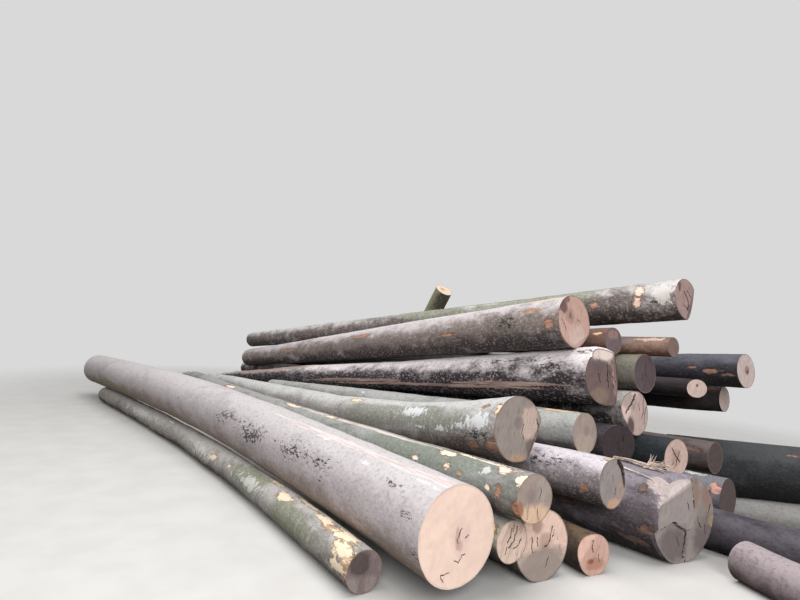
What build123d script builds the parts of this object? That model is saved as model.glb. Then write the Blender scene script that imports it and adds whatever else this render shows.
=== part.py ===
from build123d import *
import math
import os
import numpy as np

# A roadside stack of beech roundwood. Millimetres, +Z up. The butts face -Y and the tips +Y.
# Each log is stated by its butt, its direction in plan, its length and its girth. Its height and
# slope are not stated: the logs are laid down one after the other, in the order of the list, and
# each comes to rest on the ground or on the logs that are already there.

# Clearance that is left where two logs touch
SEAT_GAP = 0.3
# Spacing along a log of the places at which contact is looked for
CONTACT_PITCH = 15.0
# Points around a cut end's edge at which contact is looked for
RIM_POINTS = 72
# Rounds of settling, each with the slope that the one before it gave
SETTLING_ROUNDS = 3
# Longest straight run between two of a log's round sections
SECTION_PITCH = 1400.0
# How far a saw cut across a log's end runs off square, in degrees
CUT_SKEW = 2.5
# Where the skew cut starts, in shares of the radius, and how its side changes from log to log
SKEW_START = -1.04
SKEW_SPREAD = 75.0
SKEW_STEP = 2.4
# How far a cutting shape reaches past the end or the side that it cuts
OVERCUT = 10.0

# The fresh-cut log in front
FRONT_BUTT = 586.0
FRONT_TIP = 496.0
FRONT_LENGTH = 9650.0

# The thick butt with the felling cut
FELLED_BUTT = 644.0
FELLED_TIP = 450.0
FELLED_LENGTH = 8075.0
FELLED_FACET_DEPTH = 115.0
FELLED_STEP = 45.0
FELLED_CLEFT_WIDTH = 36.0
FELLED_CLEFT_DEPTH = 150.0
FELLED_CLEFT_LENGTH = 700.0

# The log with the flared butt
FLARED_BODY = 383.0
FLARED_TIP = 264.0
FLARED_LENGTH = 6800.0
FLARE_RISE = 50.0
FLARE_REACH = 600.0

# The log with the crooked top, above the flared one
CROOK_LENGTH = 8365.0
CROOK_GIRTH = [(0, 520), (530, 488), (2740, 360), (5130, 320), (5880, 240), (8365, 146)]
CROOK_TOP_FACET = 120.0
CROOK_SIDE_FACET = 90.0
CROOK_LEFT_FACET = 85.0

# Butts that are cut on a slant, with the face turned to the left: degrees off square
SLANTS = {"felled_log": 13.0, "cracked_log": 11.0, "dark_log": 18.0, "pale_log": 30.0, "mossy_log": 8.0}

# The log whose tip broke off in a point
TORN_POINT = 380.0

# Sawn or chopped facets on the ends: which end, the side they are on (0 is up, turning to the right
# seen from the butt), how far off the middle they start in shares of the radius, and their depth
FACETS = {
    "felled_log": [("butt", -23, 0.62, FELLED_FACET_DEPTH)],
    "crook_log": [("butt", -8, 0.45, CROOK_TOP_FACET), ("butt", 88, 0.2, CROOK_SIDE_FACET),
                  ("butt", -104, -0.15, CROOK_LEFT_FACET)],
    "mossy_log": [("butt", 118, 0.25, 62.0)],
    "red_log": [("butt", -45, 0.35, 64.0)],
    "flared_log": [("butt", 120, 0.72, 45.0)],
    "leaning_log": [("butt", 80, 0.6, 25.0)],
    "short_log": [("butt", -40, 0.4, 30.0)],
    "top_log": [("butt", 150, 0.66, 35.0)],
    "torn_log": [("tip", 10, 0.1, TORN_POINT), ("tip", 175, 0.45, 0.5 * TORN_POINT)],
}

# Logs that run out past the right-hand side of the stack
SIDE_LENGTH = 4000.0
SHORT_STOCK = 2000.0
BUMPY_START = 1200.0


class Log:
    """A length of roundwood: butt at (x, y), running at yaw degrees from +Y towards +X."""

    def __init__(self, name, x, y, yaw, length, butt, tip, sway=0.0, drift=0.0, rise=0.0, swell=0.0,
                 flare=0.0, reach=500.0, girth=None):
        self.name = name
        self.start = np.array([x, y], float)
        self.along = np.array([math.sin(math.radians(yaw)), math.cos(math.radians(yaw))])
        self.left = np.array([-self.along[1], self.along[0]])
        self.length = length
        self.girth = girth or [(0, butt), (length, tip)]
        self.sway, self.drift, self.rise, self.swell = sway, drift, rise, swell
        self.flare, self.reach = flare, reach
        self.sections = self.section_places()
        self.z_butt = self.z_tip = 0.0

    def radius(self, d):
        """Radius at the distance d from the butt, on straight runs between the round sections."""
        at = self.sections
        nominal = np.interp(at, [a for a, _ in self.girth], [g / 2 for _, g in self.girth])
        return np.interp(d, at, nominal + self.flare * np.exp(-(at / self.reach) ** 1.5))

    def bow(self, d, whole, half):
        """Sideways or upward departure from the straight line between the two ends."""
        t = math.pi * self.sections / self.length
        return np.interp(d, self.sections, whole * np.sin(t) + half * np.sin(2 * t))

    def plan(self, d):
        side = self.bow(d, self.sway, self.drift)
        return self.start + np.outer(d, self.along) + np.outer(side, self.left)

    def height(self, d):
        line = self.z_butt + (self.z_tip - self.z_butt) * d / self.length
        return line + self.bow(d, self.rise, self.swell)

    def stations(self):
        count = int(math.ceil(self.length / CONTACT_PITCH)) + 1
        return np.linspace(0.0, self.length, count)

    def steepness(self):
        return abs(self.z_tip - self.z_butt) / self.length

    def beside(self, places, spill):
        """Which of the places lie between the planes of this log's two cut ends, or nearly."""
        ahead = (places - self.start) @ self.along
        return (ahead >= -spill) & (ahead <= self.length + spill)

    def spill(self, other):
        """How far along this log the round of the other log reaches past its own centre line."""
        turn = abs(self.along[0] * other.along[1] - self.along[1] * other.along[0])
        return other.girths * min(turn + self.steepness(), 1.0)

    def near(self, other):
        """Whether the two logs come close enough in plan to touch."""
        reach = self.girths.max() + other.girths.max() + SEAT_GAP
        gap = np.maximum(self.places.min(axis=0) - other.places.max(axis=0),
                         other.places.min(axis=0) - self.places.max(axis=0))
        return gap.max() < reach

    def come_to_rest(self, laid):
        """Lower the log onto the ground and onto the logs that are already laid."""
        d = self.stations()
        self.places, self.girths = self.plan(d), self.radius(d)
        self.z_butt = self.z_tip = 0.0
        neighbours = [other for other in laid if self.near(other)]
        for _ in range(SETTLING_ROUNDS):
            self.settle(d, neighbours)
        self.heights = self.height(d)
        self.rims = np.vstack([self.rim(0.0), self.rim(self.length)])

    def settle(self, d, neighbours):
        """One round of settling, with the slope that the last round gave."""
        floor = self.girths / math.hypot(1.0, self.steepness())
        for other in neighbours:
            mine = other.beside(self.places, other.spill(self))
            theirs = self.beside(other.places, self.spill(other))
            self.lift(floor, mine, other.places[theirs], other.heights[theirs], other.girths[theirs])
            edge = other.rims[self.beside(other.rims[:, :2], self.girths.max() * self.steepness())]
            self.lift(floor, self.girths > 0, edge[:, :2], edge[:, 2], 0.0)
        line = floor - self.bow(d, self.rise, self.swell)
        weight = self.girths ** 2
        centre = (weight * d).sum() / weight.sum()
        # The log rests on the two supports, one each side of its centre of gravity, that lie highest
        hull = []
        for i in range(len(d)):
            while len(hull) > 1:
                a, b = hull[-2], hull[-1]
                if (line[b] - line[a]) * (d[i] - d[a]) > (line[i] - line[a]) * (d[b] - d[a]):
                    break
                hull.pop()
            hull.append(i)
        for a, b in zip(hull, hull[1:]):
            if d[a] <= centre <= d[b]:
                slope = (line[b] - line[a]) / (d[b] - d[a])
                self.z_butt = line[a] - slope * d[a]
                self.z_tip = self.z_butt + slope * self.length

    def lift(self, floor, mine, places, heights, girths):
        """Raise the lowest heights of this log's own places clear of the places below it."""
        if not (mine.any() and len(places)):
            return
        reach = self.girths[mine][:, None] + girths + SEAT_GAP
        east = self.places[mine, 0][:, None] - places[:, 0]
        north = self.places[mine, 1][:, None] - places[:, 1]
        room = reach ** 2 - east ** 2 - north ** 2
        top = np.where(room > 0, heights + np.sqrt(np.maximum(room, 0.0)), 0.0)
        floor[mine] = np.maximum(floor[mine], top.max(axis=1))

    def rim(self, place):
        """Points around the edge of the cut end at the given place."""
        at = np.array([place])
        length = math.hypot(self.length, self.z_tip - self.z_butt)
        turn = np.linspace(0.0, 2 * math.pi, RIM_POINTS, endpoint=False)
        over, up = self.radius(at)[0] * np.cos(turn), self.radius(at)[0] * np.sin(turn)
        back = -up * (self.z_tip - self.z_butt) / length
        plan = self.plan(at)[0] + np.outer(over, self.left) + np.outer(back, self.along)
        return np.column_stack([plan, self.height(at)[0] + up * self.length / length])

    def section_places(self):
        """Distances from the butt of the round sections: evenly spread, and closer in a flare."""
        count = max(2, int(math.ceil(self.length / SECTION_PITCH)))
        places = {self.length * i / count for i in range(count + 1)}
        places |= {float(a) for a, _ in self.girth}
        if self.flare:
            places |= {self.reach * share for share in (0.25, 0.5, 0.75, 1.0, 1.4)}
        return np.array(sorted(places))

    def solid(self):
        """Round sections square to the log, joined by straight runs."""
        level = math.hypot(self.length, self.z_tip - self.z_butt)
        run = Vector(*(self.along * self.length), self.z_tip - self.z_butt) / level
        side = Vector(self.left[0], self.left[1], 0)
        sections = []
        for place in self.sections:
            at = np.array([place])
            x, y = self.plan(at)[0]
            plane = Plane(origin=(x, y, self.height(at)[0]), x_dir=side, z_dir=run)
            sections.append(Wire.make_circle(float(self.radius(at)[0]), plane))
        return Solid.make_loft(sections, ruled=True)

    def end_frame(self, end):
        """Middle of a cut end, and the directions right, up and into the log there."""
        slant = math.radians(SLANTS.get(self.name, 0.0)) if end == "butt" else 0.0
        radius = self.radius(np.array([0.0 if end == "butt" else self.length]))[0]
        place, sign = (radius * math.tan(slant), 1) if end == "butt" else (self.length, -1)
        level = math.hypot(self.length, self.z_tip - self.z_butt)
        run = Vector(*(self.along * self.length), self.z_tip - self.z_butt) / level
        right = Vector(-self.left[0], -self.left[1], 0)
        up = right.cross(run)
        at = np.array([place])
        x, y = self.plan(at)[0]
        middle = Vector(x, y, self.height(at)[0])
        inward = run * (sign * math.cos(slant)) + right * math.sin(slant)
        right = right * math.cos(slant) - run * (sign * math.sin(slant))
        return middle, right, up, inward, radius

    def faceted(self, solid, end, side, start, depth):
        """Cut a flat facet on an end: it starts at a share of the radius and leaves the rim at depth."""
        middle, right, up, inward, radius = self.end_frame(end)
        outward = right * math.sin(math.radians(side)) + up * math.cos(math.radians(side))
        normal = outward * depth - inward * (radius * (1 - start))
        return solid.split(Plane(origin=middle + outward * (radius * start), z_dir=normal), keep=Keep.BOTTOM)

    def squared(self, solid, number):
        """Saw both ends a little off square: butts lean back at the top, tips at the bottom."""
        turn = SKEW_SPREAD * math.cos(SKEW_STEP * number)
        for end, side in (("butt", turn), ("tip", 180.0 - turn)):
            radius = self.end_frame(end)[4]
            fall = (1 - SKEW_START) * radius * math.tan(math.radians(CUT_SKEW))
            solid = self.faceted(solid, end, side, SKEW_START, fall)
        return solid


def felling_step(log):
    """What the felling cut took off the butt: all but the middle tongue, whose lower edge is torn."""
    middle, right, _, inward, radius = log.end_frame("butt")
    face = Plane(origin=middle - inward * OVERCUT, x_dir=right, z_dir=inward)
    torn_edge = [(-1.1, -0.24), (-0.42, -0.02), (0.02, -0.26), (0.2, -0.17), (0.24, 0.3), (0.14, 1.1)]
    around = [(1.2, 1.1), (1.2, -1.2), (-1.1, -1.2)]
    # Seen along the inward direction the plane's y axis points down
    corners = [face.from_local_coords(Vector(x * radius, -y * radius, 0)) for x, y in torn_edge + around]
    outline = Face(Wire.make_polygon(corners, close=True))
    return Solid.extrude(outline, inward * (OVERCUT + FELLED_STEP))


def cleft(log):
    """The cleft between the two root lobes under the butt, running out along the log."""
    middle, right, up, inward, radius = log.end_frame("butt")
    sections = []
    for place, share in ((-OVERCUT, 1.0), (FELLED_CLEFT_LENGTH, 0.05)):
        foot = middle + inward * place + right * (0.03 * radius) - up * (radius + OVERCUT)
        half, rise = right * (FELLED_CLEFT_WIDTH * 0.5 * share), up * (FELLED_CLEFT_DEPTH * share + OVERCUT)
        sections.append(Wire.make_polygon([foot - half, foot + rise, foot + half], close=True))
    return Solid.make_loft(sections, ruled=True)


def finished(log, number):
    """The log with its saw cuts, facets and felling cut."""
    solid = log.squared(log.solid(), number)
    for facet in FACETS.get(log.name, []):
        solid = log.faceted(solid, *facet)
    if log.name == "felled_log":
        solid = solid - felling_step(log) - cleft(log)
    return solid.solid()


def stack():
    """The logs, from the ground up."""
    return [
        # On the ground
        Log("green_log", 2160, 2920, 2.8, 8360, 266, 256, sway=-183, drift=-16),
        Log("pillow_log", 3266, 2478, 5.0, 8860, 463, 366),
        Log("felled_log", 4449, 2034, 0.2, FELLED_LENGTH, FELLED_BUTT, FELLED_TIP),
        Log("short_log", 3664, 2355, 13.5, 1230, 270, 240),
        Log("hidden_log_1", 3945, 4000, 0.0, 1600, 370, 340),
        Log("bumpy_log", 4980, BUMPY_START, 0.3, SIDE_LENGTH, 320, 290),
        Log("hidden_log_2", 5000, BUMPY_START + SIDE_LENGTH + 450, 0.0, 5550, 280, 240),
        Log("hidden_log_3", 5550, 2800, -0.3, 8200, 340, 280),
        Log("hidden_log_4", 5970, 2950, -0.1, 8050, 420, 340),
        Log("hidden_log_5", 6400, 4100, 0.0, 4100, 400, 360),
        Log("thick_log", 6468, 3354, 139.8, SIDE_LENGTH, 590, 560),
        Log("knot_log", 5502, 2371, 142.7, SIDE_LENGTH, 280, 260),
        Log("pink_log", 4527, 1763, 203.6, SHORT_STOCK, 265, 275),
        # Front of the stack
        Log("fibre_log", 2908, 2440, 5.5, 8750, 268, 209),
        Log("front_log", 2492, 2483, 0.6, FRONT_LENGTH, FRONT_BUTT, FRONT_TIP, sway=-133, drift=-24, rise=87),
        Log("torn_log", 2889, 2268, 5.0, 8040, 290, 251, sway=13, rise=-35),
        Log("leaning_log", 3912, 2389, 0.9, 4500, 354, 280),
        Log("flared_log", 3527, 2945, 2.6, FLARED_LENGTH, FLARED_BODY, FLARED_TIP, sway=-8, drift=-29,
            rise=-98, swell=-36, flare=FLARE_RISE, reach=FLARE_REACH),
        # Second course
        Log("shelf_log", 5253, 2172, 0.0, 8430, 335, 260),
        Log("smooth_log", 4388, 2957, -1.4, 5445, 350, 230),
        Log("dark_log", 4748, 2815, 0.4, 7385, 330, 240),
        Log("cracked_log", 5095, 2505, 0.4, 8295, 306, 240),
        Log("brown_log", 5830, 2535, -0.9, 8065, 296, 240),
        # Upper courses
        Log("red_log", 4996, 2850, -0.3, 8050, 389, 260),
        Log("crook_log", 4683, 2940, -1.8, CROOK_LENGTH, 0, 0, girth=CROOK_GIRTH),
        Log("grey_log", 5124, 2860, -0.2, 7340, 351, 240),
        Log("top_log", 4579, 3245, 1.5, 7165, 480, 300),
        Log("peeled_log", 4968, 3095, 3.8, 4315, 250, 205),
        Log("stripped_log", 5202, 2654, 2.5, 4550, 176, 152),
        Log("mossy_log", 5233, 2540, -3.6, 7770, 362, 260),
        # Back of the stack
        Log("hidden_log_6", 6195, 3800, -0.4, 6700, 340, 280),
        Log("hidden_log_7", 6500, 3750, 0.0, 4300, 360, 310),
        Log("hidden_log_8", 6150, 3650, 0.0, 5850, 360, 290),
        Log("pale_log", 6104, 2806, 0.5, 5195, 188, 166),
        Log("stub_log", 6539, 2776, 0.4, 5000, 269, 220),
        Log("blue_log", 6262, 2466, 3.0, 5400, 329, 270),
        Log("propped_log", 6680, 8750, 182.0, 1500, 280, 270),
    ]


def lay(logs):
    laid = []
    for log in logs:
        log.come_to_rest(laid)
        laid.append(log)
    return laid


def main():
    os.makedirs("parts", exist_ok=True)
    logs = lay(stack())
    solids = [finished(log, number) for number, log in enumerate(logs)]
    boxes = [solid.bounding_box() for solid in solids]
    low = [min(getattr(box.min, axis) for box in boxes) for axis in "XYZ"]
    high = [max(getattr(box.max, axis) for box in boxes) for axis in "XYZ"]
    base = Vector((low[0] + high[0]) / 2, (low[1] + high[1]) / 2, low[2])
    for log, solid in zip(logs, solids):
        placed = Location(-base) * solid
        placed.label = log.name
        export_step(placed, f"parts/{log.name}.step")
        print(f"{log.name}: butt at {log.z_butt:.0f}, tip at {log.z_tip:.0f}")
    print("size", [round(b - a) for a, b in zip(low, high)], "base", base)


main()
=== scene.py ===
import math
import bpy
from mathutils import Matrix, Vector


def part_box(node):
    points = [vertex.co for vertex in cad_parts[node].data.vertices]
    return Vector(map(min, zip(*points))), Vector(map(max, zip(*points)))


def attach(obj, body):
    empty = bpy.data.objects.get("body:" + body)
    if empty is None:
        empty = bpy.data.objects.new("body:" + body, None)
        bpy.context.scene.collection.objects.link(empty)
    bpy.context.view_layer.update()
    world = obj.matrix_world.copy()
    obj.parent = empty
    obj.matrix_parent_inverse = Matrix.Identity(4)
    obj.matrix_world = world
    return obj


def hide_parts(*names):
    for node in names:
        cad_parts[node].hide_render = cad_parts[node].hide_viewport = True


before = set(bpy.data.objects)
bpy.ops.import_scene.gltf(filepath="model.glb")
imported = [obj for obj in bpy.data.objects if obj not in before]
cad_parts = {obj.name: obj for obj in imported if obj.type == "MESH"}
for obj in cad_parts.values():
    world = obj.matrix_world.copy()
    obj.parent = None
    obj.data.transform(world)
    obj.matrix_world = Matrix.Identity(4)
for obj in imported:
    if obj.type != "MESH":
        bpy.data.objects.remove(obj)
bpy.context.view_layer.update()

from types import SimpleNamespace

import bpy
import numpy as np
from mathutils import Matrix, Vector
from mathutils.bvhtree import BVHTree

# The photograph's camera: its place in plan from the front log's lowest corner, height, heading, pitch, roll
CAMERA_FROM_FRONT_LOG = (-2.2006, -2.4826)
CAMERA_HEIGHT = 1.6
CAMERA_HEADING = Vector((0.6195, 0.785, 0.0)).normalized()
CAMERA_PITCH = math.radians(2.5)
CAMERA_ROLL = math.radians(3.4)
CAMERA_LENS = 27.0
CAMERA_SENSOR = 36.0

# Detail of the skins: segments around, first and longest step along, rings on a cut face
FINENESS = {
    "close": (192, 0.014, 0.09, 64),
    "near": (128, 0.018, 0.09, 34),
    "mid": (96, 0.028, 0.11, 24),
    "far": (64, 0.04, 0.14, 14),
    "plain": (32, 0.15, 0.4, 3),
}
STEP_GROWTH = 0.02
# The last rows along a log, counted back from its end; the growing steps stop at the first of these
LAST_ROWS = (0.08, 0.05, 0.02, 0.0)
# A far end has a third of the butt's rings, but some; the power sets the rings closer to the edge
FAR_END_RINGS = (3, 3)
RING_POWER = 0.9

# How a log's direction and middle line are measured: the depth of the slices at its ends, the rays of a
# station, where the stations start and stop short of the ends, their pitch, and the reach of a lost ray
END_SLICE = 0.1
AXIS_RAYS = 12
AXIS_MARGINS = (0.25, 0.04)
AXIS_PITCH = 0.15
LOST_REACH = 0.05
# Rays along the log start this far outside a cut end and count down to this far inside
END_RAY_START, END_RAY_DEPTH = 0.6, 0.5
# Rays at the bark start this many radii out, and count within these shares of the usual radius
BARK_RAY_START = 3
BARK_RAY_SHARES = (0.4, 1.9)
# How the edge of a cut end is found: where the log's size is read first, the insets of the two tries,
# and how far behind the cut the bark's radius is read
RIM_SEARCH = 0.25
RIM_INSETS = (0.94, 0.985)
RIM_MARGIN = 0.005

NOISE_LATTICE = 32
# The bark's swellings, each as height, lumps per metre and stretch, and the same for the edges of torn bark
BARK_LUMPS = ((0.006, 2.6, (1, 1, 0.6)), (0.003, 8, (1, 1, 0.7)), (0.0012, 24, (1, 1, 1)))
TORN_LUMPS = (0.5, 11, (1, 1, 0.5))
TORN_EDGE = (0.1, 0.35)
BARE_DEPTH = 0.004
# The unevenness of a cut end: fine waves, and broad ones that fade toward its edge
CUT_LUMPS = ((0.0015, 30), (0.003, 7))
# A branch scar's mound and its sunk middle, in sizes of the scar
KNOT_RISE, KNOT_SINK, KNOT_MIDDLE = 0.22, 0.2, 0.35
SHARP_EDGE = math.radians(38)
# Kinds of patch on the bark, each of them a value at every corner of a skin
KINDS = ("bare", "rust", "pale", "green", "dark", "scrape", "moss")


def shade(code):
    """A colour written as on a screen, in the linear values that a shader takes."""
    values = [int(code[i:i + 2], 16) / 255 for i in (0, 2, 4)]
    return tuple(v / 12.92 if v < 0.04045 else ((v + 0.055) / 1.055) ** 2.4 for v in values) + (1.0,)


def deeper(colour, share):
    return tuple(value * share for value in colour[:3]) + (1.0,)


def put(name, data):
    """A new object in the scene."""
    thing = bpy.data.objects.new(name, data)
    bpy.context.scene.collection.objects.link(thing)
    return thing


# Numbers that vary smoothly over a place

class Lumps:
    """Smooth random values between -1 and 1 that fill space."""

    def __init__(self, seed):
        random = np.random.default_rng(seed)
        self.lattice = random.uniform(-1, 1, (NOISE_LATTICE,) * 3)

    def __call__(self, places, per_metre, stretch=(1, 1, 1)):
        at = places * per_metre * np.array(stretch)
        cell = np.floor(at).astype(int)
        share = at - cell
        share = share * share * (3 - 2 * share)
        total = np.zeros(len(at))
        for corner in range(8):
            step = np.array([corner & 1, corner >> 1 & 1, corner >> 2 & 1])
            index = (cell + step) % NOISE_LATTICE
            weight = np.prod(np.where(step, share, 1 - share), axis=1)
            total += weight * self.lattice[index[:, 0], index[:, 1], index[:, 2]]
        return total


def mended(ring, default):
    """A closed ring of values with the gaps in it filled from their neighbours."""
    known = ~np.isnan(ring)
    if not known.any():
        return np.full(len(ring), default)
    spots = np.arange(len(ring))
    return np.interp(spots, spots[known], ring[known], period=len(ring)) if not known.all() else ring


def smooth(value, low, high):
    t = np.clip((value - low) / (high - low), 0, 1)
    return t * t * (3 - 2 * t)


def around(count):
    """Each place of a closed row with the next."""
    return [(j, (j + 1) % count) for j in range(count)]


def tube(rows):
    """The faces between closed rows of corners."""
    return [(row[j], row[k], after[k], after[j])
            for row, after in zip(rows, rows[1:]) for j, k in around(len(row))]


# The skin of a log

class Timber:
    """A log of the frame, measured by rays so that a detailed skin can follow it."""

    def __init__(self, name, flipped=False):
        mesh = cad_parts[name].data
        co = np.zeros(len(mesh.vertices) * 3)
        mesh.vertices.foreach_get("co", co)
        co = co.reshape(-1, 3)
        self.tree = BVHTree.FromPolygons([tuple(p) for p in co], [tuple(p.vertices) for p in mesh.polygons])
        self.find_direction(co, flipped)
        self.find_axis()

    def find_direction(self, co, flipped):
        """The direction from the butt to the tip, through the middles of the two cut ends."""
        run = np.linalg.svd(co - co.mean(axis=0), full_matrices=False)[2][0]
        run *= np.sign(run[1]) * (-1 if flipped else 1)
        for _ in range(3):
            t = co @ run
            butt = co[t < t.min() + END_SLICE].mean(axis=0)
            tip = co[t > t.max() - END_SLICE].mean(axis=0)
            run = (tip - butt) / np.linalg.norm(tip - butt)
        self.run = run
        self.right = np.array([run[1], -run[0], 0.0]) / math.hypot(run[0], run[1])
        self.up = np.cross(self.right, run)
        self.butt = butt
        t = (co - butt) @ run
        self.low, self.high = t.min(), t.max()
        self.length = self.high - self.low

    def end(self, forward):
        """Where the log starts, seen from the butt or else from the tip, and the way into it."""
        return (self.low, 1.0) if forward else (self.high, -1.0)

    def outward(self, angles):
        """Directions square to the log: 0 is up, and the angles turn to the right seen from the butt."""
        return np.outer(np.sin(angles), self.right) + np.outer(np.cos(angles), self.up)

    def cast(self, start, direction):
        hit = self.tree.ray_cast(Vector(start), Vector(direction))
        return hit[3] if hit[0] is not None else None

    def find_axis(self):
        """The log's middle line: the mean of what rays across the log meet, step by step."""
        spokes = self.outward(np.linspace(0, 2 * math.pi, AXIS_RAYS, endpoint=False))
        inner = np.arange(self.low + AXIS_MARGINS[0], self.high - AXIS_MARGINS[1], AXIS_PITCH)
        middle, middles, sizes = np.array(self.butt) + self.run * inner[0], [], []
        for t in inner:
            middle = middle + self.run * (t - (middle - self.butt) @ self.run)
            for _ in range(2):
                reach = [self.cast(middle, spoke) or LOST_REACH for spoke in spokes]
                middle = middle + (spokes * np.array(reach)[:, None]).mean(axis=0)
            middles.append(middle - self.butt - self.run * t)
            sizes.append(np.mean(reach))
        self.stations, self.offsets, self.sizes = inner, np.array(middles), np.array(sizes)

    def axis(self, t):
        shift = np.column_stack([np.interp(t, self.stations, self.offsets[:, i]) for i in range(3)])
        # Past the first and the last station the middle line runs straight on
        for here, inner in ((0, 2), (-1, -3)):
            slope = (self.offsets[here] - self.offsets[inner]) / (self.stations[here] - self.stations[inner])
            beyond = t - self.stations[here]
            beyond = np.minimum(beyond, 0) if here == 0 else np.maximum(beyond, 0)
            shift += np.outer(beyond, slope)
        return self.butt + np.outer(t, self.run) + shift

    def size(self, t):
        return np.interp(t, self.stations, self.sizes)

    def end_depth(self, places, forward):
        """Where lines along the log meet its cut end, measured along the log, with nan where none is met."""
        base, sign = self.end(forward)
        ahead = base - sign * END_RAY_START - (places - self.butt) @ self.run
        starts = places + self.run * ahead[:, None]
        depths = []
        for start in starts:
            hit = self.cast(start, self.run * sign)
            lost = hit is None or hit > END_RAY_START + END_RAY_DEPTH
            depths.append(np.nan if lost else base + sign * (hit - END_RAY_START))
        return np.array(depths)

    def surface(self, t, angle):
        """The log's radius at each (place along, angle), by rays from outside, with nan where none is met."""
        middle, spokes, size = self.axis(t), self.outward(angle), self.size(t)
        far = BARK_RAY_START * size
        least, most = BARK_RAY_SHARES
        radii = np.full(len(t), np.nan)
        for i in range(len(t)):
            hit = self.cast(middle[i] + spokes[i] * far[i], -spokes[i])
            if hit is not None and least * size[i] < far[i] - hit < most * size[i]:
                radii[i] = far[i] - hit
        return radii


def rim_places(timber, angles, forward):
    """Where the bark meets the cut end, measured along the log, at each angle."""
    base, sign = timber.end(forward)
    spokes = timber.outward(angles)
    size = timber.size(np.array([base]))[0]
    reach = mended(timber.surface(np.full(len(angles), base + sign * RIM_SEARCH), angles), size)
    for inset in RIM_INSETS:
        foot = timber.axis(np.full(len(angles), base)) + spokes * (inset * reach)[:, None]
        depth = mended(timber.end_depth(foot, forward), base)
        reach = mended(timber.surface(depth + sign * RIM_MARGIN, angles), size)
    return depth


def steps(length, first, longest):
    """Places along a log as shares of its length, close at the butt and wider after it."""
    places = [0.0]
    while places[-1] < length - LAST_ROWS[0]:
        places.append(places[-1] + min(first + STEP_GROWTH * places[-1], longest))
    places[-1:] = [length - back for back in LAST_ROWS[1:]]
    return np.array(places) / length


def distances(along, angle, radius, place, turn):
    """How far each spot on the bark lies from one of them, along the log and around it."""
    aside = (np.degrees(angle) - turn + 180) % 360 - 180
    return along - place, np.radians(aside) * radius


def patch_field(patches, along, angle, radius):
    """1 in the middle of a patch, 0 at its edge and less outside."""
    field = np.full(len(along), -1.0)
    for place, turn, half_length, half_width in patches:
        ahead, aside = distances(along, angle, radius, place, turn)
        field = np.maximum(field, 1 - np.hypot(ahead / half_length, aside / half_width))
    return field


def knot_bumps(knots, along, angle, radius):
    """Branch scars: a low mound with a sunk middle."""
    rise = np.zeros(len(along))
    for place, turn, size in knots:
        reach = np.hypot(*distances(along, angle, radius, place, turn)) / size
        rise += size * (KNOT_RISE * np.exp(-reach ** 2) - KNOT_SINK * np.exp(-(reach / KNOT_MIDDLE) ** 2))
    return rise


def groove_depth(splits, x, y):
    """Depth of the open splits on a cut face. Each is a broken line from its root outward."""
    depth = np.zeros(len(x))
    for width, deep, *points in splits:
        for (ax, ay), (bx, by) in zip(points, points[1:]):
            run_x, run_y = bx - ax, by - ay
            share = np.clip(((x - ax) * run_x + (y - ay) * run_y) / (run_x ** 2 + run_y ** 2), 0, 1)
            gap = np.hypot(x - ax - share * run_x, y - ay - share * run_y)
            depth = np.maximum(depth, deep * (1 - smooth(gap, 0.3 * width, width)))
    return depth


def end_rows(timber, look, lumps, angles, spread, forward):
    """The rows of a cut end from its edge inward, its middle last: corners, grain and share of the radius."""
    base, sign = timber.end(forward)
    rings = FINENESS[look.fine][3]
    if not forward:
        least, share = FAR_END_RINGS
        rings = max(least, rings // share)
    splits = look.splits if forward else ()
    mean_depth = base
    for ring in [*np.linspace(1, 0, rings + 1)[1:-1] ** RING_POWER, 0.0]:
        here = angles if ring else angles[:1]
        reach = ring * (spread if ring else spread[:1])
        x, y = reach * np.sin(here), reach * np.cos(here)
        foot = timber.axis(np.full(len(here), base)) + np.outer(x, timber.right) + np.outer(y, timber.up)
        depth = mended(timber.end_depth(foot, forward), mean_depth)
        mean_depth = depth.mean()
        flat = np.column_stack([x, y, np.full(len(x), base)])
        waves, broad = (height * lumps(flat, per_metre) for height, per_metre in CUT_LUMPS)
        depth = depth + sign * (groove_depth(splits, x, y) + (waves + broad * (1 - ring)))
        yield foot + timber.run * (depth - base)[:, None], np.column_stack([x, y, depth - timber.low]), ring


def end_faces(outer, inner, forward):
    """The faces between two rows of a cut end, of which the inner may be the middle corner alone."""
    faces = []
    for j, k in around(len(outer)):
        middle = (inner[0],) if len(inner) == 1 else (inner[j], inner[k])
        loop = (outer[j], *middle, outer[k])
        faces.append(loop if forward else loop[::-1])
    return faces


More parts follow.
